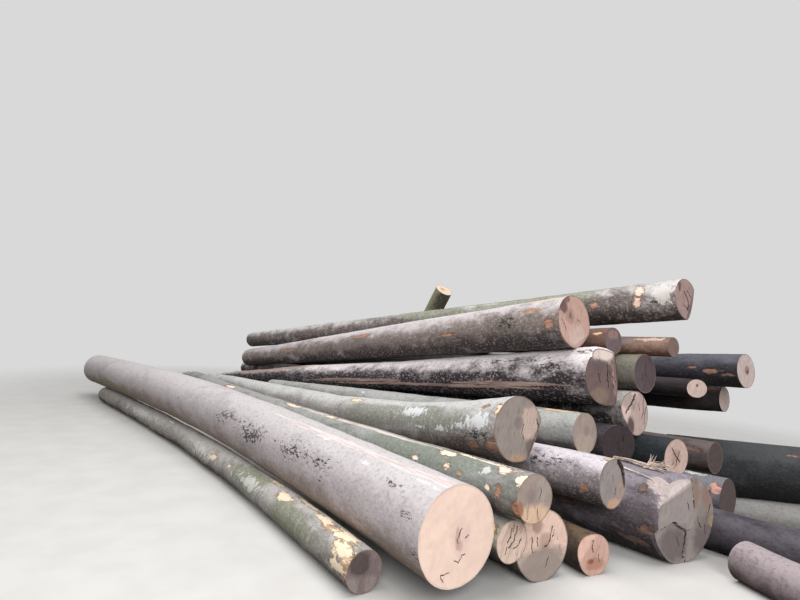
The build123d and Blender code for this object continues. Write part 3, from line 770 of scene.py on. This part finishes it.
PLAIN = Look("plain", "plain_bark", ("8d867f", "6f6862", "3d3733"), "7d6e64", cut=dict(weather=0.4))
LOOKS = {
    "front_log": Look("near", "pale_bark", ("c4bebf", "b6aeb0", "958478"), "f4d8c8",
        bark=dict(dark=0.7, mottle=0.45, tint="8f8a72", tint_share=0.05, lichen=0.12, pale="efe7e6",
            fleck=0.42, rings=0.1, scrape="c4b4b1", scraped="ded3d1", relief=0.7),
        cut=dict(weather=0, rays=0.12, rings=0.1, edge="c9b6ab", edge_share=0.5, fibres=0.06, relief=0.5),
        zones=((30, 0, 75, 120, "e2c6bc", 0.85), (0, 0, 20, 70, "b58f80", 0.6),
            (20, -50, 20, 30, "b99384", 0.5)),
        cracks=((5, (28, 50), (10, 15), (-3, -12), (4, -30)), (4, (82, 8), (64, -13)),
            (5, (62, -98), (30, -111), (12, -141), (-21, -126)),
            (5, (-60, -188), (-117, -190), (-104, -235))),
        pale=((820, -34, 140, 30), (200, -24, 320, 20), (1500, -25, 300, 30)),
        green=((5030, -124, 1600, 90), (7770, -115, 1800, 140), (3200, -128, 1200, 50)),
        dark=((2630, -78, 450, 100), (3190, -66, 300, 80), (1850, -69, 350, 100), (1180, -66, 200, 100),
            (190, -65, 80, 40), (430, -43, 100, 30), (60, -100, 100, 80), (1290, 15, 200, 40)),
        scrape=((750, -14, 1100, 35), (1700, -20, 900, 30), (150, -9, 300, 50))),
    "green_log": Look("near", "green_bark", ("b5b1ad", "98948f", "4a433d"), "857674",
        bark=dict(mottle=0.9, tint="80836e", tint_share=0.5, lichen=0.35, fleck=0.3, rings=0.55,
            bare="e9dabf", rust="c8a384"),
        cut=dict(weather=0.35, grey="9a8c8a", rays=0.3, speckle=0.45, speckle_colour="b8adad",
            edge="837463"),
        zones=((-90, -70, 60, 60, "948988", 0.9), (-70, 90, 50, 40, "8a807d", 0.8),
            (-30, 50, 80, 70, "473b3c", 0.8), (50, -80, 60, 60, "a1908c", 0.6)),
        bare=((2930, -63, 130, 50), (4680, -24, 160, 30), (1550, 10, 220, 50), (1200, -24, 200, 60),
            (950, 18, 250, 50), (570, 4, 200, 60), (260, 3, 240, 90), (130, -42, 200, 80),
            (120, -85, 160, 40), (2450, -55, 60, 30)),
        rust=((450, -10, 140, 50), (50, -60, 120, 120)),
        pale=((3400, -70, 700, 120), (1900, -60, 500, 100), (5800, -60, 1200, 100)),
        green=((900, -80, 600, 120), (2000, -50, 500, 120))),
    "pillow_log": Look("mid", "grey_bark", ("a19a94", "7d7670", "38312d"), "eacbbb",
        cut=dict(grey="8f857f", rays=0.3, rings=0.12, edge="6d6059"),
        zones=((0, -150, 260, 150, "958a83", 0.95), (-50, 130, 50, 60, "8a6a5e", 0.6),
            (20, 20, 60, 60, "a38375", 0.6)),
        cracks=((6, (85, 110), (73, 55), (58, 4), (40, -10), (23, -13)), (4, (105, 80), (90, 40)),
            (6, (-91, 63), (-95, 20), (-87, -32)), (5, (-50, 50), (-40, 0)), (3, (60, -80), (30, -140)))),
    "felled_log": Look("close", "grey_bark", ("8a838b", "5d5559", "2d2728"), "9b918e",
        bark=dict(mottle=1, tint_share=0.1, lichen=0.05, fleck=0.45, rings=0.1, bare="a58a80",
            rust="77605a", scrape="ac9b97", scraped="bfb1af", relief=1.8),
        cut=dict(weather=0.35, grey="8b817f", rays=0.1, rings=0.05, speckle=0.25, edge="857875",
            edge_share=0.25, fibres=0.25),
        zones=((200, -140, 160, 200, "6c6160", 0.9), (210, 170, 100, 130, "8d7266", 0.8),
            (240, -30, 50, 50, "a08b70", 0.9), (70, 160, 25, 90, "a98a66", 0.8),
            (15, 275, 14, 14, "3a3030", 0.9), (60, 270, 12, 20, "473c39", 0.9),
            (-150, -170, 150, 140, "6f6665", 0.9), (60, 190, 50, 120, "8b776c", 0.8),
            (130, 20, 50, 120, "8a8078", 0.6)),
        hewn=(("b8acaa", 0.9, (-0.38, 0.925, 236), (-1, 0, 20)),),
        cracks=((5, (-50, 130), (-40, 80)), (5, (0, 140), (10, 90)), (5, (-120, -120), (-100, -180)),
            (5, (-50, -60), (-30, -110)), (4, (160, -50), (170, -120)), (4, (220, 100), (200, 30)),
            # The 12 mm line from (-330, -55) is the painted shadow under the felling step's lower edge, not a
            # crack
            (12, (-330, -55), (-170, -2)), (10, (-30, -100), (-45, -180), (-57, -260), (-40, -290)),
            (7, (0, 280), (5, 200), (18, 70)), (5, (90, 15), (100, -30), (130, -70))),
        knots=((750, -60, 50),),
        rust=((270, -52, 50, 50), (200, -99, 100, 50), (500, -70, 100, 50), (900, -95, 120, 40),
            (300, -120, 150, 50)),
        scrape=((50, -55, 120, 170), (180, -42, 100, 90))),
    "short_log": Look("mid", "mossy_bark", ("6a5747", "453b34", "332c28"), "d2ad9f",
        bark=dict(mottle=1, tint="6b6144", tint_share=0.7, lichen=0.35, relief=1.3),
        cut=dict(weather=0.2, grey="a3887c", rays=0.2, edge="8d755f"),
        zones=((0, -60, 100, 50, "a97b63", 0.8), (-30, -40, 30, 20, "8b4e3a", 0.9)),
        cracks=((5, (-10, 100), (-20, 50), (-10, 20)), (4, (40, 0), (50, -50))),
        pale=((300, -110, 250, 60),)),
    "fibre_log": Look("mid", "green_bark", ("a8a49d", "7f7d70", "3b372f"), "e6ccbc",
        bark=dict(tint_share=0.4, bare="f2d68c", rust="c08a4a"),
        cut=dict(weather=0.15, grey="a09087", rays=0.55, edge="6e5a48", fibres=0.7, relief=2),
        cracks=((6, (50, 90), (30, 40), (20, 0), (-20, -30)), (5, (0, 80), (-10, 30), (-35, 0)),
            (5, (85, 10), (60, -30), (17, -45)), (4, (-40, -20), (-50, -70)), (4, (20, 100), (10, 60))),
        bare=((130, -52, 160, 50),), pale=((250, -10, 300, 30),)),
    "torn_log": Look("near", "green_bark", ("9d9d9b", "7d7e79", "3d3b38"), "a09188",
        bark=dict(tint="767c70", tint_share=0.45, lichen=0.25, fleck=0.2, rings=0.15, bare="efdcc8",
            rust="a9806a"),
        cut=dict(grey="8c8079", rays=0.2, rings=0.12, edge="7b5e45"),
        zones=((0, -100, 110, 80, "daba9f", 0.95), (-120, -50, 30, 50, "a06a4c", 0.9),
            (-30, 20, 40, 50, "867977", 0.6), (80, 50, 50, 80, "a79d99", 0.6)),
        cracks=((4, (45, 65), (58, 45), (50, 20), (40, 0)), (3, (-50, -60), (-60, -110)),
            (3, (20, -60), (30, -120))),
        knots=((540, -72, 30), (260, -81, 25)),
        bare=((5520, -25, 300, 50), (3470, -11, 300, 50), (2560, -11, 220, 40), (1050, -66, 50, 30),
            (780, -18, 120, 60), (690, -58, 60, 40), (260, -81, 35, 25), (200, -19, 100, 60),
            (30, -40, 70, 80), (420, -5, 400, 25), (7800, 0, 400, 100)),
        rust=((540, -72, 45, 35), (170, -85, 40, 60), (20, -110, 50, 70)), pale=((330, -40, 100, 50),),
        green=((1000, -50, 800, 150),), scrape=((2200, -10, 1500, 30),)),
    "leaning_log": Look("near", "grey_bark", ("cdc5cb", "7d7476", "4a4041"), "9f9694",
        bark=dict(mottle=0.9, tint_share=0, lichen=0.15, fleck=0.3, bare="cfae92", rust="b48a75"),
        cut=dict(weather=0.35, grey="8f8681", rays=0.2, edge="6b5b50"),
        zones=((0, -150, 90, 50, "cfa98b", 0.9), (100, -60, 60, 80, "b29d8f", 0.7)),
        # The 36 mm crack is painted shade inside the open split that follows the same points
        cracks=((36, (75, 140), (115, 100), (148, 30), (160, -30)), (4, (-10, 60), (0, 20)),
            (4, (30, -30), (20, -80))),
        splits=((22, 25, (80, 140), (115, 100), (148, 30), (160, -30)),), bare=((40, -8, 70, 35),),
        rust=((130, -107, 55, 60), (130, -100, 50, 40), (20, -10, 40, 60)), dark=((600, -60, 400, 80),)),
    "flared_log": Look("near", "green_bark", ("c2c1bf", "99938f", "62534e"), "988d87",
        bark=dict(tint="85867a", tint_share=0.4, lichen=0.42, pale="dfe0e1", fleck=0.3, rings=0.5,
            bare="e9d3b4", rust="ae8874"),
        cut=dict(grey="837872", rays=0.15, edge="7c5f47"),
        zones=((110, 40, 100, 150, "c6aea4", 0.9), (0, 40, 50, 50, "7d7170", 0.7),
            (130, -150, 80, 70, "705c54", 0.9), (-20, -230, 90, 40, "b39578", 0.8),
            (100, 190, 80, 50, "8a7d79", 0.7)),
        cracks=((7, (190, 60), (210, -10), (230, -60)), (6, (150, -90), (210, -120)),
            (5, (50, 20), (30, -40), (50, -80)), (5, (120, -170), (170, -180))),
        bare=((30, -52, 60, 110), (2200, -30, 150, 40)),
        rust=((200, -45, 50, 30), (60, -118, 120, 90), (300, -125, 100, 50)),
        pale=((1100, -54, 360, 90), (990, -96, 120, 30), (710, -96, 140, 40), (250, -75, 240, 100),
            (450, -85, 150, 40)),
        green=((1600, -70, 1000, 150),), dark=((250, -105, 300, 80),)),
    "shelf_log": Look("mid", "pale_bark", ("74747a", "5f5d62", "38332f"), "5f5352",
        bark=dict(rust="c3978a"), cut=dict(grey="6f6464", edge="3a302e"), rust=((50, -55, 70, 70),),
        pale=((300, -10, 400, 60),)),
    "smooth_log": Look("mid", "green_bark", ("aaaba8", "8c8b88", "4a4744"), "ab9990",
        bark=dict(mottle=0.5, tint="8e9086", tint_share=0.4, lichen=0.1, fleck=0.1, rings=0.35,
            bare="d9bf9d", rust="b08c62"),
        cut=dict(grey="9a8f89", rays=0.2, edge="8a7d73"),
        zones=((0, -80, 130, 80, "b7a798", 0.8), (20, 20, 40, 50, "8f7e76", 0.6)),
        bare=((250, -5, 300, 50),), pale=((3000, -40, 250, 60), (110, -86, 30, 10))),
    "dark_log": Look("mid", "grey_bark", ("585055", "3b3437", "1f1b1d"), "403739",
        cut=dict(grey="4d4446", rays=0.5, speckle=0.1, speckle_colour="8c7d79", edge="3a2f2f"),
        cracks=((5, (20, 80), (30, 20)), (4, (-30, 30), (-20, -40)))),
    "cracked_log": Look("mid", "grey_bark", ("33383c", "22272a", "15171a"), "d0b5a9",
        bark=dict(tint="2b3636", tint_share=0.4, lichen=0, rings=0.08),
        cut=dict(weather=0.1, grey="b79f97", rays=0.2, rings=0.1, edge="85736a"),
        zones=((0, 0, 70, 80, "b09289", 0.7),),
        cracks=((9, (-55, 90), (-20, 35), (20, -5), (50, -30)), (6, (50, 60), (20, 0), (0, -60)),
            (5, (-30, -30), (-55, -60)), (4, (0, -60), (-30, -90)))),
    "brown_log": Look("mid", "brown_bark", ("6b6060", "504644", "29231f"), "5f5350",
        bark=dict(mottle=1, rust="7d675c"), cut=dict(grey="6b5f5a", edge="8f7a66", edge_share=0.7),
        rust=((150, -60, 100, 40),)),
    "red_log": Look("mid", "brown_bark", ("b5b1ac", "282223", "1c1718"), "cdb4ac",
        bark=dict(tint_share=0.1, fleck=0.3),
        cut=dict(weather=0.1, grey="a8908c", rays=0.25, speckle=0.14, speckle_colour="6b3d38",
            edge="4a3c3d"),
        zones=((-110, -110, 70, 90, "46383b", 0.9), (-90, 110, 90, 90, "9a8d88", 0.9)),
        cracks=((10, (-150, 10), (-70, 80), (0, 160)), (7, (130, 130), (110, 70), (120, 0), (80, -50)),
            (6, (160, 50), (130, -30), (120, -100)), (5, (30, 80), (50, 20)))),
    "crook_log": Look("near", "grey_bark", ("e2d9da", "3a3235", "2a2427"), "74625f",
        bark=dict(dark=0.5, mottle=0.75, tint_share=0, lichen=0.1, fleck=0.33, rings=0.1, rust="8d6656",
            scrape="8b746c", scraped="b39c90", relief=1.5),
        cut=dict(grey="6a5e60", rays=0.3, speckle=0.06, edge="4b3e3a"),
        zones=((140, 0, 100, 220, "b59893", 0.95), (-20, 210, 200, 90, "cdbdb6", 0.95),
            (-120, 100, 70, 60, "65595b", 0.7), (-100, -160, 100, 80, "8c776a", 0.8)),
        cracks=((7, (-10, 60), (40, 10), (100, -30), (190, -50)), (6, (60, 150), (100, 80), (130, 30)),
            (6, (50, -60), (80, -130)), (6, (-20, 130), (-20, 30), (-10, -90)), (5, (150, 120), (190, 50)),
            (5, (-120, 40), (-100, -40))),
        pale=((300, -10, 400, 50),), dark=((430, -69, 280, 50), (160, -32, 150, 40), (1000, -50, 500, 60)),
        scrape=((2200, -118, 2200, 22), (1000, -108, 900, 25), (3600, -105, 1200, 25),
            (6000, -30, 1600, 60))),
    "grey_log": Look("mid", "green_bark", ("7f7a70", "67655c", "322e2b"), "64565a",
        bark=dict(tint="6d7263", tint_share=0.5, lichen=0.1),
        cut=dict(weather=0.4, grey="564a4e", rays=0.3, edge="8b7d74"),
        cracks=((5, (20, 100), (0, 40), (20, -30)), (4, (-50, 0), (-40, -60)))),
    "top_log": Look("near", "brown_bark", ("c8c0c1", "81756f", "3b3334"), "c8a699",
        bark=dict(mottle=0.9, tint="66645a", tint_share=0.1, lichen=0.25, pale="d6d6d8", fleck=0.35,
            rings=0.12, bare="efd3bb", rust="c09077"),
        cut=dict(weather=0.1, grey="ab9088", rays=0.2, rings=0.12, speckle=0.05, speckle_colour="5d423e",
            edge="5d4945"),
        zones=((-150, 130, 70, 70, "5f4644", 0.9), (-100, 200, 60, 40, "6a4d49", 0.8),
            (-55, 55, 25, 35, "4c3d40", 0.95), (-55, 55, 70, 80, "9a7d75", 0.6),
            (30, -130, 140, 100, "cdb5ac", 0.8)),
        cracks=((5, (-190, 20), (-150, -20), (-130, -80)), (4, (50, 20), (100, 0))),
        knots=((340, -80, 35),),
        rust=((100, -94, 90, 70), (3260, -60, 300, 30), (330, -57, 160, 35), (1500, -95, 200, 20),
            (5300, -80, 300, 20)),
        pale=((4200, -18, 2200, 50), (6300, -10, 900, 60), (1800, -20, 1000, 30)),
        green=((640, -77, 140, 160),), dark=((640, -77, 160, 140),), scrape=((250, -25, 300, 40),)),
    "peeled_log": Look("mid", "peeled_wood", ("75594f", "6d564d", "42302a"), "786769",
        bark=dict(mottle=0.8, tint="6f5648", tint_share=0.2, lichen=0, fleck=0.2, bare="dcb89c",
            rust="ab7c61"),
        cut=dict(grey="7f6f6b", edge="8a6852"), zones=((0, 60, 80, 50, "a5897d", 0.7),),
        bare=((100, -55, 60, 30),), green=((20, -80, 50, 100),)),
    "stripped_log": Look("mid", "peeled_wood", ("a58b7e", "82685c", "63493b"), "88736b",
        bark=dict(mottle=0.4, tint="8a8482", tint_share=0.1, lichen=0.1, fleck=0.1, bare="e8cdb8",
            rust="c29d82"),
        cut=dict(grey="857873", edge="7a6659"), bare=((200, -40, 200, 40),), green=((500, -60, 160, 100),),
        dark=((500, -60, 140, 80),)),
    "mossy_log": Look("near", "mossy_bark", ("c4c1be", "6d625f", "3d3634"), "a98f8a",
        bark=dict(mottle=1, tint="7d7f6c", tint_share=0.35, lichen=0.45, pale="cfc8c4", fleck=0.3,
            bare="ecccbc", rust="cd9f88", relief=1.3),
        cut=dict(grey="8f8280", rays=0.3, speckle=0.2, edge="6b5d5e", relief=1.8),
        zones=((70, -90, 70, 60, "87797a", 0.9), (-90, 120, 30, 50, "6a504f", 0.8)),
        cracks=((6, (-107, 140), (-95, 70)), (8, (-30, 70), (20, 10), (36, -43), (0, -90)),
            (7, (30, 80), (80, 30), (120, -20)), (6, (-50, -50), (20, -90)), (5, (50, -100), (100, -80))),
        knots=((240, -75, 30),), bare=((360, -56, 60, 80), (380, -92, 50, 70)), rust=((810, -88, 70, 30),),
        pale=((150, -70, 150, 140),), green=((1200, -40, 500, 150), (3000, -40, 1500, 150)),
        dark=((200, -100, 120, 60),), moss=((2200, -10, 1400, 50),)),
    "bumpy_log": Look("mid", "grey_bark", ("59545b", "444046", "272326"), "a38f85", rough=1.6,
        bark=dict(mottle=1, rust="a5714e", relief=1.6), cut=dict(weather=0.4),
        knots=((1800, -60, 60), (2600, -30, 50), (3200, -80, 60))),
    "thick_log": Look("mid", "green_bark", ("48494b", "303133", "181819"), "968678", flipped=True,
        bark=dict(tint="373b35", tint_share=0.4, lichen=0.08, rings=0.08), cut=dict(weather=0.4),
        knots=((1900, 60, 60),), rust=((1200, 40, 80, 20),)),
    "knot_log": Look("mid", "green_bark", ("817f7d", "6b6967", "3d3f38"), "a89488", flipped=True,
        bark=dict(tint="6f7268", rust="b06a3c"), cut=dict(weather=0.4)),
    "pink_log": Look("mid", "pale_bark", ("a3979a", "8a7e82", "4a4043"), "b09d95", flipped=True,
        bark=dict(tint_share=0.1), cut=dict(weather=0.4)),
    "pale_log": Look("mid", "green_bark", ("3c3436", "2a2426", "171315"), "d2bbb2",
        bark=dict(lichen=0, rings=0.05), cut=dict(weather=0, rays=0.05, rings=0.05, edge="8a7973"),
        zones=((-10, 30, 12, 16, "4a3d3f", 0.9),)),
    "stub_log": Look("mid", "green_bark", ("4b4241", "322b2c", "1b1718"), "c9b7b1",
        bark=dict(lichen=0, rings=0.05, rust="86604f"), cut=dict(weather=0.1, grey="a39593"),
        rust=((120, -35, 140, 40),)),
    "blue_log": Look("mid", "brown_bark", ("57575f", "302e34", "191618"), "d2bfb9",
        bark=dict(tint="414750", tint_share=0.25, lichen=0.08, rings=0.1, bare="a5745c", rust="987466",
            wet=0.3),
        cut=dict(weather=0.1, grey="b8a7a3", rays=0.1, edge="5e4d4b"),
        zones=((20, 10, 50, 55, "8a6d67", 0.8), (25, -10, 25, 20, "5f322e", 0.9)),
        rust=((270, -92, 140, 30), (100, -104, 100, 20), (450, -80, 80, 15))),
    "propped_log": Look("far", "grey_bark", ("9a9a86", "87846f", "4a453a"), "e6cfb9",
        bark=dict(tint_share=0.5), cut=dict(weather=0, rays=0.1, edge="6b5d51"),
        zones=((-20, 20, 50, 50, "c99265", 0.8),)),
}


def dress_logs():
    for seed, name in enumerate(sorted(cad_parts), 1):
        look = LOOKS.get(name, PLAIN)
        places, faces, bark_faces, values = skin(Timber(name, look.flipped), look, Lumps(seed))
        materials = [bark(name, look, seed), cut_face(name, look, seed)]
        piece = make_piece(name + "_timber", places, faces, materials, values, bark_faces)
        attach(piece, "root")
        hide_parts(name)


# The splinters on the felled log

SPLINTER_SEED = 12
# Long splinters, the short ones of the frayed end, those that stand up there, and a loose stick: how many,
# how thick, and where they run on the log, as (place along, side in degrees, height over the bark) at the
# start and the end, and how far they spread
SPLINTERS = (
    (12, 0.006, (0.66, 8.0, 0.014), (0.27, -14.0, 0.02), (0.05, 2.2, 0.012)),
    (30, 0.0048, (0.33, -11.0, 0.014), (0.2, -17.0, 0.04), (0.055, 6.0, 0.03)),
    (14, 0.005, (0.3, -10.0, 0.02), (0.24, -12.0, 0.085), (0.07, 6.0, 0.035)),
    (1, 0.009, (0.5, -24.0, 0.01), (0.21, -41.0, 0.01), (0.0, 0.0, 0.0)),
)
SPLINTER_SIDES = 6
SPLINTER_POINTS = 7
# The starts spread by this share of what the ends do
START_SPREAD = 0.6
# How splinters bend: sideways in degrees, in this many half waves, and up in the middle
SPLINTER_BEND, SPLINTER_WAVES, SPLINTER_ARCH = 1.5, (0.6, 1.6), 0.004
# Their thickness in shares of the usual one, and the thin end's share of it
SPLINTER_SIZES, SPLINTER_TIP = (0.5, 1.15), 0.3
# Each splinter's grain is read this far aside for each corner before it
GRAIN_SHIFT = 0.01


def rod(points, thick, thin):
    """A tapered stick along points, closed at both ends."""
    runs = np.gradient(points, axis=0)
    runs /= np.linalg.norm(runs, axis=1)[:, None]
    across = np.cross(runs, (0.3, 0.2, 0.93))
    across /= np.linalg.norm(across, axis=1)[:, None]
    over = np.cross(across, runs)
    places = []
    for i, size in enumerate(np.linspace(thick, thin, len(points))):
        for turn in np.linspace(0, 2 * math.pi, SPLINTER_SIDES, endpoint=False):
            places.append(points[i] + size * (math.cos(turn) * across[i] + math.sin(turn) * over[i]))
    rows = np.arange(len(places)).reshape(-1, SPLINTER_SIDES)
    return places, [*tube(rows), rows[0][::-1], rows[-1]]


def splinter_wood():
    paint = Paint("splinter_wood", SPLINTER_SEED)
    grain = paint.noise(60, 4, (1, 1, 0.15), 0.7)
    colour = paint.cover(shade("b09a8b"), shade("f3e4d8"), grain, 0.35, 0.65)
    return paint.finish(paint.surface(colour, 0.8, grain, 0.002, 0.2))


def add_splinters():
    log = Timber("felled_log")
    random = np.random.default_rng(SPLINTER_SEED)
    share = np.linspace(0, 1, SPLINTER_POINTS)
    places, faces, grains = [], [], []
    for width, start, end, spread in (kind[1:] for kind in SPLINTERS for _ in range(kind[0])):
        shift = np.array(spread) * random.uniform(-1, 1, 3)
        along, turn, lift = np.outer(start + START_SPREAD * shift, 1 - share) + np.outer(end + shift, share)
        turn = np.radians(turn + SPLINTER_BEND * np.sin(share * math.pi * random.uniform(*SPLINTER_WAVES)))
        lift = np.maximum(lift, width) + SPLINTER_ARCH * np.sin(share * math.pi)
        radius = mended(log.surface(along + log.low, turn), log.size(along + log.low)[0]) + lift
        points = log.axis(along + log.low) + log.outward(turn) * radius[:, None]
        thick = width * random.uniform(*SPLINTER_SIZES)
        corners, loops = rod(points, thick, SPLINTER_TIP * thick)
        base = len(places)
        places += corners
        grains += [(base * GRAIN_SHIFT, 0.0, place) for place in np.repeat(along, SPLINTER_SIDES)]
        faces += [base + np.array(loop) for loop in loops]
    piece = make_piece("splinter_bundle", places, faces, [splinter_wood()], {"grain": grains})
    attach(piece, "root")


# Camera, floor and light

BACKDROP = "d9d9d9"
# The floor's half width, its two colours, and its colour for the light that it throws back, which is that of
# a forest track
FLOOR_HALF = 60.0
FLOOR_COLOURS = ("c9c7c4", "cfcdca")
FLOOR_BOUNCE = "6a625c"
# How far from the stack's middle the floor starts to fade into the backdrop, and where it has
FLOOR_FADE = (7.5, 14.0)
# The fade is an oval, because the stack is longer than it is wide
FLOOR_OVAL = (1.6, 1.0, 1.0)
# The light from all around: colour and strength
SKY = ("ececec", 0.45)
# Lamps: place, the spot that they face, width, power
LAMPS = {
    "sky_lamp": ((-3.0, -1.0, 12.0), (0.0, 0.0, 0.5), 12.0, 1250),
    "front_lamp": ((-9.0, -12.0, 6.0), (0.0, -2.0, 0.5), 7.0, 1500),
}


def place_camera():
    low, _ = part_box("front_log")
    ahead = math.cos(CAMERA_PITCH) * CAMERA_HEADING + math.sin(CAMERA_PITCH) * Vector((0, 0, 1))
    level = CAMERA_HEADING.cross(Vector((0, 0, 1)))
    upward = level.cross(ahead)
    right = math.cos(CAMERA_ROLL) * level + math.sin(CAMERA_ROLL) * upward
    up = math.cos(CAMERA_ROLL) * upward - math.sin(CAMERA_ROLL) * level
    turn = Matrix((right, up, -ahead)).transposed().to_4x4()
    data = bpy.data.cameras.new("photo_camera")
    data.lens, data.sensor_width = CAMERA_LENS, CAMERA_SENSOR
    place = Vector((low.x + CAMERA_FROM_FRONT_LOG[0], low.y + CAMERA_FROM_FRONT_LOG[1], CAMERA_HEIGHT))
    camera = put("photo_camera", data)
    camera.matrix_world = Matrix.Translation(place) @ turn
    bpy.context.scene.camera = camera


def seen_rays(tree):
    """1 for rays that show the background: what the camera sees, mirrored or through glass too."""
    path = tree.nodes.new("ShaderNodeLightPath")
    total = path.outputs["Is Camera Ray"]
    for kind in ("Is Glossy Ray", "Is Transmission Ray"):
        node = tree.nodes.new("ShaderNodeMath")
        node.operation = "MAXIMUM"
        tree.links.new(total, node.inputs[0])
        tree.links.new(path.outputs[kind], node.inputs[1])
        total = node.outputs[0]
    return total


def lay_floor():
    corners = [(x * FLOOR_HALF, y * FLOOR_HALF, 0) for x, y in ((-1, -1), (1, -1), (1, 1), (-1, 1))]
    mesh = bpy.data.meshes.new("floor")
    mesh.from_pydata(corners, [], [(0, 1, 2, 3)])
    paint = Paint("floor")
    place = paint.node("TexCoord").outputs["Object"]
    grain = paint.noise(3, 3, where=place)
    seen = seen_rays(paint.tree)
    colour = paint.mix(seen, shade(FLOOR_BOUNCE), paint.cover(*map(shade, FLOOR_COLOURS), grain, 0.3, 0.7))
    backdrop = paint.fed(paint.node("Emission"), (shade(BACKDROP),)).outputs[0]
    away = paint.ramp(paint.vector("LENGTH", paint.vector("MULTIPLY", place, FLOOR_OVAL)), *FLOOR_FADE)
    ground = paint.surface(colour, 0.9, grain, 0.002, 0.1)
    fade = paint.fed(paint.node("MixShader"), (paint.times(away, seen), ground, backdrop))
    mesh.materials.append(paint.finish(fade.outputs[0]))
    floor = put("floor", mesh)


def light_scene():
    bpy.context.scene.view_settings.view_transform = "Standard"
    world = bpy.data.worlds.new("studio")
    bpy.context.scene.world = world
    world.use_nodes = True
    nodes, links = world.node_tree.nodes, world.node_tree.links
    nodes.clear()
    mix, out = nodes.new("ShaderNodeMixShader"), nodes.new("ShaderNodeOutputWorld")
    links.new(seen_rays(world.node_tree), mix.inputs[0])
    for socket, (code, strength) in zip(mix.inputs[1:], (SKY, (BACKDROP, 1.0))):
        light = nodes.new("ShaderNodeBackground")
        light.inputs[0].default_value, light.inputs[1].default_value = shade(code), strength
        links.new(light.outputs[0], socket)
    links.new(mix.outputs[0], out.inputs[0])
    for name, (place, target, size, power) in LAMPS.items():
        data = bpy.data.lights.new(name, "AREA")
        data.shape, data.size, data.energy = "DISK", size, power
        lamp = put(name, data)
        lamp.location = place
        lamp.rotation_euler = (Vector(target) - Vector(place)).to_track_quat("-Z", "Y").to_euler()


dress_logs()
add_splinters()
place_camera()
lay_floor()
light_scene()
